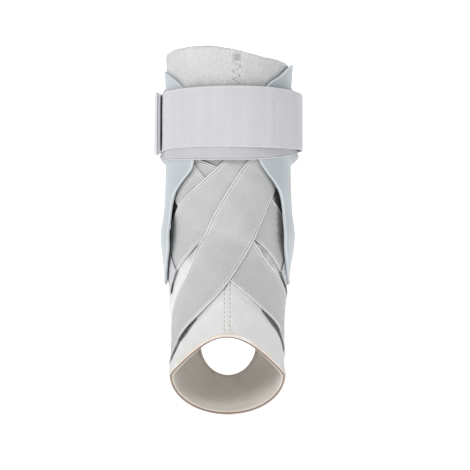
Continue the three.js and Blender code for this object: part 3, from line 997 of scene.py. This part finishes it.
def build_side_loop(side, name):
    edge = table(LOOP_COLUMNS, LOOP_EDGE)
    at = np.linspace(edge["at"][0], edge["at"][-1], 60)[:, None]
    front = np.interp(at, edge["at"], edge["left" if side < 0 else "right"])
    turn = side * (front + (LOOP_BACK - front) * np.linspace(0, 1, 24) ** 1.6)
    at = np.broadcast_to(at, turn.shape)
    lift = REST_GAP + lift_over(form_point(turn, at), ROUTES, STRAP_MARGIN, 5 * MM) + 0.1 * MM
    inwards = step01((np.abs(turn) - 76) / 12) * step01((1.36 - at) / 0.08)
    lift = lift + np.maximum(shell_lift(turn, at) - 1.1 * MM - lift, 0) * inwards
    curl = rounding(np.radians(np.abs(turn) - front) * SIDE_RADIUS, LOOP_CURL)
    weave = (np.radians(turn) * SLEEVE_RADIUS, at * SLEEVE_LENGTH)
    # Painted shade where the loop runs in under the shell's tip.
    shade_under_tip = step01((np.abs(turn) - 77) / 6) * step01((1.36 - at) / 0.06)
    values = {"lower": 1.0, "painted_shade": shade_under_tip}
    place = (turn, at)
    lay_sheet(name, None, SIDE_CLOTH, place, lift, SIDE_LOOP_THICKNESS, curl, weave, values)


# Crossed straps.

# Distances from an edge at which a sheet has points, in millimetres.
EDGE_STEPS = (
    0, 0.12, 0.28, 0.45, 0.62, 0.8, 1.0, 1.2, 1.4, 1.6, 1.8, 2.0, 2.2, 2.5, 3.0, 4.0, 6.0, 9.0, 12.5,
)
# Where the lower edge of each instep strap stands off: the middle and the spread as shares of the
# strap's length, the side of the strap and the height.
STRAP_EDGE_LIFTS = {
    "instep_strap_outer": (0.62, 0.08, 1, 1.6 * MM),
    "instep_strap_inner": (0.6, 0.07, -1, 1.4 * MM),
}
# Turn at which the straps have their plain width again.
SPREAD_END = 95


def across_steps(width):
    """Places across a sheet, closer together at its two edges."""
    half = width / 2
    steps = np.array(EDGE_STEPS) * MM
    left = -half + steps[steps < half - 1 * MM]
    return np.concatenate([left, [0.0], -left[::-1]])


def cord_profile(edge):
    """Raised cord and groove along an edge, with the paler cord and the painted shade in the groove that go
    with them.
    """
    cord = bump(edge, 0.7 * MM, 0.42 * MM)
    groove = bump(edge, 1.4 * MM, 0.3 * MM)
    second = bump(edge, 2.05 * MM, 0.36 * MM)
    height = 0.4 * MM * cord - 0.35 * MM * groove + 0.12 * MM * second
    return height, np.clip(cord + second * 0.6, 0, 1), np.clip(groove * 0.6, 0, 1)


def evened(values):
    """Each place along a strap as the mean of its neighbours, which takes out kinks at tight bends."""
    before = 2 * values[:1] - values[EVENED:0:-1]
    after = 2 * values[-1:] - values[-2 : -2 - EVENED : -1]
    padded = np.concatenate([before, values, after])
    window = np.hanning(2 * EVENED + 3)[1:-1]
    window = window / window.sum()
    return sum(part * padded[k : k + len(values)] for k, part in enumerate(window))


def strap_places(name):
    """Places across and along a crossed strap."""
    turn, at, run = LINES[name]
    offsets = across_steps(STRAP_WIDTH)
    middle = len(offsets) // 2
    point = LINE_POINTS[name]
    ahead = unit(np.gradient(point, axis=0))
    turns = np.empty((len(turn), len(offsets)))
    ats = np.empty_like(turns)
    turns[:, middle], ats[:, middle] = turn, at
    spreads = table(SPREAD_COLUMNS, SPREADS[name])
    depth = np.clip(-point[:, 2] / MM, spreads["depth"][0], spreads["depth"][-1])
    for side, column_name in ((-1, "first"), (1, "last")):
        here_turn, here_at = turn, at
        extra = smooth(spreads, "depth", column_name, depth) * MM
        widen = (1 + extra / (STRAP_WIDTH / 2) * (np.abs(turn) < SPREAD_END))[:, None]
        for k in range(1, middle + 1):
            column = middle + side * k
            stride = abs(offsets[column] - offsets[column - side]) * widen
            here, normal, _ = form_frame(here_turn, here_at)
            across = unit(np.cross(normal, ahead))
            here_turn, here_at = nearest_place(here_turn, here_at, here + side * across * stride)
            turns[:, column], ats[:, column] = here_turn, here_at
    return evened(turns), evened(ats), offsets, run


def build_cross_strap(name, under):
    """A strap that lies over the straps named in under."""
    turn, at, offsets, run = strap_places(name)
    lift = REST_GAP + lift_over(form_point(turn, at), under, STRAP_MARGIN, STRAP_RAMP)
    if name in STRAP_EDGE_LIFTS:
        middle, spread, side, height = STRAP_EDGE_LIFTS[name]
        tilt = np.clip(0.5 + side * offsets / STRAP_WIDTH, 0, 1) ** 2
        lift = lift + height * bump((run / run[-1])[:, None], middle, spread) * tilt
    sag = 0.18 * MM * np.sin(run / (23 * MM))[:, None] * np.cos(math.pi * offsets / STRAP_WIDTH)
    edge = STRAP_WIDTH / 2 - np.abs(offsets)
    relief, cord, groove = cord_profile(edge)
    curl = rounding(edge, STRAP_THICKNESS * CURL_SHARE)
    # Painted shade in front of the shells' front edges and, on the ankle straps, in front of the side loops'
    # edges.
    painted_shade = 0.6 * shell_shadow(turn, at)
    if name.startswith("ankle"):
        painted_shade = np.maximum(painted_shade, 0.9 * loop_shadow(turn, at))
    values = {"cord": cord, "groove": groove, "painted_shade": painted_shade}
    stand = lift + np.maximum(sag, 0)
    wall = STRAP_THICKNESS + relief
    weave = (offsets, run[:, None])
    place = (turn, at)
    lay_sheet(name + "_tape", name, CROSS_ELASTIC, place, stand, wall, curl, weave, values)


# Dark strips laid under and beside the straps' lower edges where these stand off the sleeve: partly the
# straps' hook undersides, partly painted shade of the gap.

STRIP_COLUMNS = ("strap", "side", "from_height", "to_height")
STRIPS = (
    ("instep_strap_outer", 1, -59 * MM, -98 * MM),
    ("instep_strap_inner", -1, -53 * MM, -88 * MM),
)
STRIP_WIDTH = 3.3 * MM
STRIP_TUCK = 2.5 * MM
STRIP_TURN_END = 100


def build_strip(strap, side, from_height, to_height):
    turns, ats, _, _ = strap_places(strap)
    column = -1 if side > 0 else 0
    turn, at = turns[:, column], ats[:, column]
    height = form_point(turn, at)[:, 2]
    chosen = (height < from_height) & (height > to_height) & (np.abs(turn) < STRIP_TURN_END)
    turn, at, height = turn[chosen], at[chosen], height[chosen]
    share = (from_height - height) / (from_height - to_height)
    reach = STRIP_WIDTH * np.sin(math.pi * np.clip(share, 0.01, 0.99) ** 0.8) ** 1.2
    here, normal, _ = form_frame(turn, at)
    across = unit(np.cross(normal, unit(np.gradient(here, axis=0)))) * side
    rows = []
    for part in np.linspace(-1, 1, 9):
        step = np.where(part < 0, part * STRIP_TUCK, part * reach)
        rows.append(nearest_place(turn, at, here + across * step[:, None]))
    place = [np.stack(parts, 1) for parts in zip(*rows)]
    stand = np.full(place[0].shape, 0.1 * MM)
    wall = (0.65 + 0.1 * rng.standard_normal(stand.shape)) * MM
    weave = (place[1], place[0])
    lay_sheet(strap + "_underside_and_gap_shade", None, HOOK_AND_GAP_SHADE, place, stand, wall, 0, weave)


# Side shells.

SHELL_STEPS_ALONG = 150
SHELL_STEPS_ACROSS = 61


def shell_lift(turn, at):
    """How far the shells' inner faces stand off the form."""
    left, right = left_and_right(table(CUP_COLUMNS, CUP), at)
    side = np.sin(np.radians(turn))
    return (left + (right - left) * step01(side / 1.6 + 0.5)) * MM * (0.8 + 0.2 * side**2)


def build_shell(side, node):
    """A shell whose outline is even round the middle of its side, with rounded ends and a raised rim."""
    outline = table(SHELL_COLUMNS, SHELL_OUTLINE)
    if side > 0:
        outline["at"][0] = RIGHT_SHELL_TOP
    first, last = outline["at"][0], outline["at"][-1]
    at = first + (last - first) * (1 - np.cos(np.linspace(0, math.pi, SHELL_STEPS_ALONG))) / 2
    spread = smooth(outline, "at", "left" if side < 0 else "right", at)
    tip = np.minimum(at - first, last - at) / 0.05
    spread = (spread * np.sqrt(np.clip(1 - (1 - np.clip(tip, 0.004, 1)) ** 2, 0, 1)))[:, None]
    at = at[:, None]
    share = np.sin(np.linspace(-math.pi / 2, math.pi / 2, SHELL_STEPS_ACROSS))
    reach = np.where(share > 0, SHELL_BACK_SHARE, 1.0)
    turn = side * (90 + share * reach * spread)
    edge_side = (1 - np.abs(share)) * np.radians(spread) * SHELL_RADIUS * reach
    edge = np.minimum(edge_side, np.minimum(at - first, last - at) * TOP_HEIGHT)
    at = np.broadcast_to(at, turn.shape)
    low = step01((at - 0.6) / 0.15)
    lift = shell_lift(turn, at) + 0.6 * MM * low * step01(1 - edge_side / (14 * MM))
    # The raised rim, which the plastic paints paler as a highlight.
    rim = bump(edge, 0.8 * MM, 0.55 * MM)
    wall = SHELL_THICKNESS + 0.35 * MM * rim
    curl = rounding(edge, SHELL_THICKNESS * CURL_SHARE)
    weave = (np.radians(turn) * SHELL_RADIUS, at * TOP_HEIGHT)
    values = {"rim": rim}
    place = (turn, at)
    lay_sheet(node + "_plate", node, SHELL_PLASTIC, place, lift, wall, curl, weave, values)


# Band, upper strap and tab.


def over_shells(turn, at):
    return shell_lift(turn, at) + SHELL_THICKNESS + LAYER_GAP


def side_share(turn):
    """1 at the middle of each side, 0 at the front and at the back."""
    return np.sin(np.radians(turn)) ** 2


def behind(turn):
    """1 behind the widest places of the leg, 0 in front of them."""
    return step01((from_front(turn) - 90) / BAND_FOLD)


def band_bulge(turn):
    """The band's back part stands off the leg."""
    bulge = np.where(np.sin(np.radians(turn)) > 0, BAND_RIGHT_BULGE, BAND_LEFT_BULGE)
    return bulge * behind(turn) * side_share(turn)


def build_band():
    """The band round the leg, whose two ends meet behind, with its back part a little higher."""
    turn = np.linspace(180.3, 539.7, 300)[:, None]
    side = np.sin(np.radians(turn))
    rise = np.where(side > 0, BAND_RIGHT_RISE, BAND_LEFT_RISE) * np.abs(side) ** 3
    bottom = BAND_BOTTOM + rise * (1 - behind(turn))
    bottom = bottom - 1.5 * MM * behind(turn) * side_share(turn)
    top = BAND_TOP + (BAND_TOP_BEHIND - BAND_TOP) * step01((from_front(turn) - 82) / 24)
    width = BAND_TOP - BAND_BOTTOM
    offsets = across_steps(width)
    share = offsets / width + 0.5
    height = bottom + (top - bottom) * share
    at = place_at_height(height)
    turn = np.broadcast_to(turn, at.shape)
    edge = width / 2 - np.abs(offsets)
    relief, cord, groove = cord_profile(edge)
    below_strap = 1 + 0.45 * step01((UPPER_STRAP_BOTTOM - height) / (4 * MM))
    eased = np.sin(math.pi / 2 * np.clip(share / 0.16, 0, 1)) * step01((1 - share) / 0.1)
    lift = over_shells(turn, at) + band_bulge(turn) * below_strap * eased
    wall = BAND_THICKNESS + 0.5 * relief
    curl = rounding(edge, BAND_THICKNESS * CURL_SHARE)
    weave = (offsets, np.radians(turn) * BAND_RADIUS)
    values = {"cord": cord * 0.3, "groove": groove}
    place = (turn, at)
    lay_sheet(
        "inner_band_tape", "inner_band", BAND_ELASTIC, place, lift, wall, curl, weave, values
    )


def over_band(turn, at):
    """How far the upper strap's inner face stands off the form."""
    side = np.sin(np.radians(turn))
    middle = 90.0 * np.sign(side)
    layers = BAND_THICKNESS + LAYER_GAP
    reach = np.where(side > 0, UPPER_STRAP_RIGHT_REACH, UPPER_STRAP_LEFT_REACH)
    room = reach - np.abs(form_point(middle, at)[..., 0]) - over_shells(middle, at) - layers
    tent = np.maximum(room, 0) * side_share(turn) + band_bulge(turn) * (side < 0)
    climb = step01((turn - OVERLAP_START) / OVERLAP_CLIMB)
    away = 1.4 * MM * step01((turn - 260) / 16)
    return over_shells(turn, at) + layers + tent + climb * (UPPER_STRAP_THICKNESS + LAYER_GAP) + away


def build_upper_strap():
    """The wide strap over the band, which laps over its own beginning and ends under the tab."""
    turn = np.arange(UPPER_STRAP_START, UPPER_STRAP_END + 0.1, 1.2)[:, None]
    offsets = across_steps(UPPER_STRAP_WIDTH)
    height = UPPER_STRAP_BOTTOM + UPPER_STRAP_WIDTH / 2 + offsets
    sway = 0.35 * MM * np.sin(np.radians(turn) * 3.0) * offsets / UPPER_STRAP_WIDTH
    at = place_at_height(height + sway)
    turn = np.broadcast_to(turn, at.shape)
    edge = UPPER_STRAP_WIDTH / 2 - np.abs(offsets)
    lip_bump = bump(edge, 0.8 * MM, 0.6 * MM)
    creases = 0.16 * MM * np.sin(turn * 0.38) * np.sin(turn * 0.171 + 1.0)
    creases = creases - 0.35 * MM * bump(turn, 41, 2.5) + 0.25 * MM * bump(turn, 36, 3)
    lift = over_band(turn, at) + 0.2 * MM + creases
    folded_end = 0.5 * MM * step01((turn - 264) / 6)
    wall = UPPER_STRAP_THICKNESS + 0.12 * MM * lip_bump + folded_end
    curl = rounding(edge, UPPER_STRAP_THICKNESS * CURL_SHARE)
    weave = (offsets, np.radians(turn) * UPPER_STRAP_RADIUS)
    values = {"cord": lip_bump * 0.35}
    place = (turn, at)
    lay_sheet(
        "upper_strap_cloth", "upper_strap", LOOP_CLOTH, place, lift, wall, curl, weave, values
    )


def build_tab():
    """The doubled tab over the end of the upper strap."""
    reach = math.degrees(TAB_LENGTH / HALF_WIDTH)
    turn = np.linspace(UPPER_STRAP_END - reach, UPPER_STRAP_END, 40)[:, None]
    width = UPPER_STRAP_WIDTH + 2 * TAB_OVERHANG
    offsets = across_steps(width)
    height = UPPER_STRAP_BOTTOM + UPPER_STRAP_WIDTH / 2 + offsets
    turn, at = np.broadcast_arrays(turn, place_at_height(height))
    run = np.radians(turn - turn[0, 0]) * HALF_WIDTH
    end = np.minimum(run, run[-1, 0] - run)
    edge = np.minimum(width / 2 - np.abs(offsets), end)
    lip_bump = bump(edge, 0.9 * MM, 0.7 * MM)
    lift = over_band(turn, at) + UPPER_STRAP_THICKNESS + LAYER_GAP + 0.9 * MM
    wall = TAB_THICKNESS + 0.12 * MM * lip_bump
    curl = rounding(edge, TAB_THICKNESS * CURL_SHARE)
    weave = (offsets, run)
    values = {"cord": lip_bump * 0.6}
    place = (turn, at)
    lay_sheet(
        "closing_tab_cloth", "closing_tab", TAB_CLOTH, place, lift, wall, curl, weave, values
    )


# Stitches.

# Rings of one thread, with rounded ends: how far along it and how wide, as shares.
CAPSULE_LENGTHS = (-0.5, -0.42, -0.25, 0.0, 0.25, 0.42, 0.5)
CAPSULE_WIDTHS = (0.3, 0.75, 1.0, 1.0, 1.0, 0.75, 0.3)
CAPSULE_SIDES = 7
# How far the front falls from the height of the origin to the foot opening.
FRONT_FALL = 68 * MM

# Places of the seams on the front, across and up, in millimetres.
ZIGZAG = ((3.0, 124.0), (9.7, 120.6), (2.9, 117.0), (9.3, 114.0), (3.0, 111.6), (9.0, 109.0), (3.0, 106.5))
ZIGZAG_PARTS = 3
ZIGZAG_GAP = 0.12
TACK_LEFT, TACK_RIGHT = 3.0, 9.8
TACK_LOW, TACK_HIGH, TACK_STITCHES = 124.8, 129.2, 9
FRONT_ROWS = (-1.9, 1.9)
FRONT_ROW_TOP, FRONT_ROW_BOTTOM, FRONT_ROW_STITCHES = -32.5, -66.0, 12
FRONT_STITCH_HALF = 0.8
END_LOOP_PLACE = (-0.2, -65.6)
END_LOOP_REACH = (3.6, 1.2)


def stitches(name, places, ahead, outward, length, radius, material):
    """Short threads as one mesh: each lies at a place, points ahead and stands out a little."""
    across = unit(np.cross(outward, ahead))
    angle = np.linspace(0, 2 * math.pi, CAPSULE_SIDES, endpoint=False)
    rings = []
    for where, wide in zip(CAPSULE_LENGTHS, CAPSULE_WIDTHS):
        arch = -0.5 * radius * (2 * where) ** 2
        ring = (
            places[:, None, :]
            + ahead[:, None, :] * where * length
            + outward[:, None, :] * (arch + radius * wide * np.sin(angle)[None, :, None])
            + across[:, None, :] * radius * wide * np.cos(angle)[None, :, None]
        )
        rings.append(ring)
    vertices = np.stack(rings, axis=1).reshape(-1, 3)
    per = len(CAPSULE_LENGTHS) * CAPSULE_SIDES
    one = grid_faces(len(CAPSULE_LENGTHS), CAPSULE_SIDES, 0, False, True)[:, ::-1].tolist()
    one.append(list(range(CAPSULE_SIDES)))
    one.append([per - 1 - k for k in range(CAPSULE_SIDES)])
    faces = [[corner + per * k for corner in face] for k in range(len(places)) for face in one]
    mesh = bpy.data.meshes.new(name)
    mesh.from_pydata(vertices.tolist(), [], faces)
    mesh.polygons.foreach_set("use_smooth", np.ones(len(faces), bool))
    mesh.materials.append(material)
    mesh.update()
    return add_object(name, mesh)


def front_place(x, height):
    """Turn and at of a place on the front of the form."""
    turn = np.zeros_like(x)
    at = np.where(height > 0, place_at_height(height), 1 - height / FRONT_FALL)
    for _ in range(6):
        point, around, along = form_slopes(turn, at)
        miss_x, miss_z = x - point[:, 0], height - point[:, 2]
        more_turn, more_at = solved(around[:, 0], along[:, 0], around[:, 2], along[:, 2], miss_x, miss_z)
        turn, at = turn + more_turn, at + more_at
    return turn, at


def sewn(name, starts, ends, radius, sink, material):
    """Straight stitches on the sleeve's front, from starts to ends, with all lengths in millimetres."""
    starts, ends = np.array(starts) * MM, np.array(ends) * MM
    middle = (starts + ends) / 2
    turn, at = front_place(middle[:, 0], middle[:, 1])
    point, normal, _ = form_frame(turn, at)
    swell = sleeve_relief(turn, at, point)
    first = form_point(*front_place(starts[:, 0], starts[:, 1]))
    last = form_point(*front_place(ends[:, 0], ends[:, 1]))
    length = np.linalg.norm(last - first, axis=1).mean()
    places = point + normal * (swell - sink * MM)[:, None]
    obj = stitches(name, places, unit(last - first), normal, length, radius * MM, material)
    ride_and_stand_for(obj, None)


def build_seams():
    """The zigzag seam and bar tack at the top, and the rows and end loops at the foot."""
    starts, ends = [], []
    for (x0, z0), (x1, z1) in zip(ZIGZAG[:-1], ZIGZAG[1:]):
        for part in range(ZIGZAG_PARTS):
            a = (part + ZIGZAG_GAP) / ZIGZAG_PARTS
            b = (part + 1 - ZIGZAG_GAP) / ZIGZAG_PARTS
            wobble = rng.normal(0, 0.15, 2)
            starts.append((x0 + (x1 - x0) * a + wobble[0], z0 + (z1 - z0) * a))
            ends.append((x0 + (x1 - x0) * b + wobble[1], z0 + (z1 - z0) * b))
    sewn("top_zigzag", starts, ends, 0.34, 0.05, GREY_THREAD)

    heights = np.linspace(TACK_LOW, TACK_HIGH, TACK_STITCHES)
    starts = [(TACK_LEFT + rng.normal(0, 0.2), z) for z in heights]
    ends = [(TACK_RIGHT + rng.normal(0, 0.2), z + 0.25) for z in heights]
    sewn("top_tack", starts, ends, 0.26, -0.2, SOFT_THREAD)

    starts, ends = [], []
    for x in FRONT_ROWS:
        for z in np.linspace(FRONT_ROW_TOP, FRONT_ROW_BOTTOM, FRONT_ROW_STITCHES):
            starts.append((x + rng.normal(0, 0.1), z + FRONT_STITCH_HALF))
            ends.append((x + rng.normal(0, 0.1), z - FRONT_STITCH_HALF))
    sewn("front_rows", starts, ends, 0.45, 0.1, SOFT_THREAD)

    angle = np.radians(np.arange(0, 360, 40))
    loops = np.stack([np.cos(angle), np.sin(angle)], 1) * END_LOOP_REACH + END_LOOP_PLACE
    sewn("front_end_loops", loops, np.roll(loops, -1, 0), 0.3, 0.05, PALE_THREAD)


# Stage, lights and camera.

FLOOR_DROP = 5 * MM
FLOOR_HALF_WIDTH = 3.0
FLOOR_FRONT = -2.5
FLOOR_GLOW = 0.62
BACKDROP_AT = 1.6
BACKDROP_HEIGHT = 3.0
BACKDROP_BEND = 0.9
WORLD_COLOUR = (0.97, 0.98, 1.0)
WORLD_STRENGTH = 0.3

# Round lights that point at the origin, with their power in watts.
LIGHT_COLUMNS = ("name", "place", "size", "power")
LIGHTS = (
    ("key", (-0.75, -1.4, 0.9), 0.8, 13.0),
    ("fill", (1.1, -1.2, 0.3), 1.2, 2.2),
    ("top", (0.1, 0.3, 1.5), 1.0, 6.0),
)


def build_stage():
    """A pale floor that curves up into a backdrop."""
    low = -SOLE_DROP - FLOOR_DROP
    bend_from = BACKDROP_AT - BACKDROP_BEND
    profile = [(FLOOR_FRONT, low), (bend_from, low)]
    for angle in np.radians(np.linspace(10, 90, 9)):
        y = bend_from + BACKDROP_BEND * math.sin(angle)
        profile.append((y, low + BACKDROP_BEND * (1 - math.cos(angle))))
    profile.append((BACKDROP_AT, BACKDROP_HEIGHT))
    vertices = [(x, y, z) for y, z in profile for x in (-FLOOR_HALF_WIDTH, FLOOR_HALF_WIDTH)]
    faces = [(2 * k, 2 * k + 1, 2 * k + 3, 2 * k + 2) for k in range(len(profile) - 1)]
    mesh = bpy.data.meshes.new("floor")
    mesh.from_pydata(vertices, [], faces)
    mesh.polygons.foreach_set("use_smooth", np.ones(len(faces), bool))
    floor = add_object("floor", mesh)
    graph = Graph("floor_paint", 0.9)
    graph.colour(graph.mix(graph.noise(0.4), (0.93, 0.93, 0.93), (0.96, 0.96, 0.96)))
    graph.shader.inputs["Emission Color"].default_value = (1, 1, 1, 1)
    graph.shader.inputs["Emission Strength"].default_value = FLOOR_GLOW
    mesh.materials.append(graph.material)


def area_light(name, place, size, power):
    data = bpy.data.lights.new(name, "AREA")
    data.shape = "DISK"
    data.size = size
    data.energy = power
    light = add_object(name, data)
    light.location = place
    light.rotation_euler = (-Vector(place)).to_track_quat("-Z", "Y").to_euler()


def build_lights():
    for row in LIGHTS:
        area_light(**dict(zip(LIGHT_COLUMNS, row)))
    world = bpy.data.worlds.new("studio")
    world.use_nodes = True
    world.node_tree.nodes["Background"].inputs["Color"].default_value = (*WORLD_COLOUR, 1)
    world.node_tree.nodes["Background"].inputs["Strength"].default_value = WORLD_STRENGTH
    bpy.context.scene.world = world
    bpy.context.scene.view_settings.view_transform = "Standard"


def build_camera():
    """A level camera, in the place and at the angle that the photograph was taken from."""
    data = bpy.data.cameras.new("camera")
    data.sensor_width = SENSOR_WIDTH
    data.lens = SENSOR_WIDTH * CAMERA_DISTANCE / FIELD_WIDTH
    camera = add_object("camera", data)
    camera.location = (CAMERA_ASIDE, -CAMERA_DISTANCE, 0)
    camera.rotation_euler = (math.radians(90), 0, 0)
    bpy.context.scene.camera = camera


build_camera()
build_lights()
build_stage()

sleeve = build_sleeve()
ride_and_stand_for(sleeve, "sleeve")
for trim in (build_heel_binding(), *build_foot_trim()):
    ride_and_stand_for(trim, None)
build_seams()
for k, strap_name in enumerate(ROUTES):
    build_cross_strap(strap_name, list(ROUTES)[:k])
for row in STRIPS:
    build_strip(**dict(zip(STRIP_COLUMNS, row)))
build_side_loop(-1, "side_loop_left")
build_side_loop(1, "side_loop_right")
build_shell(-1, "shell_left")
build_shell(1, "shell_right")
build_band()
build_upper_strap()
build_tab()
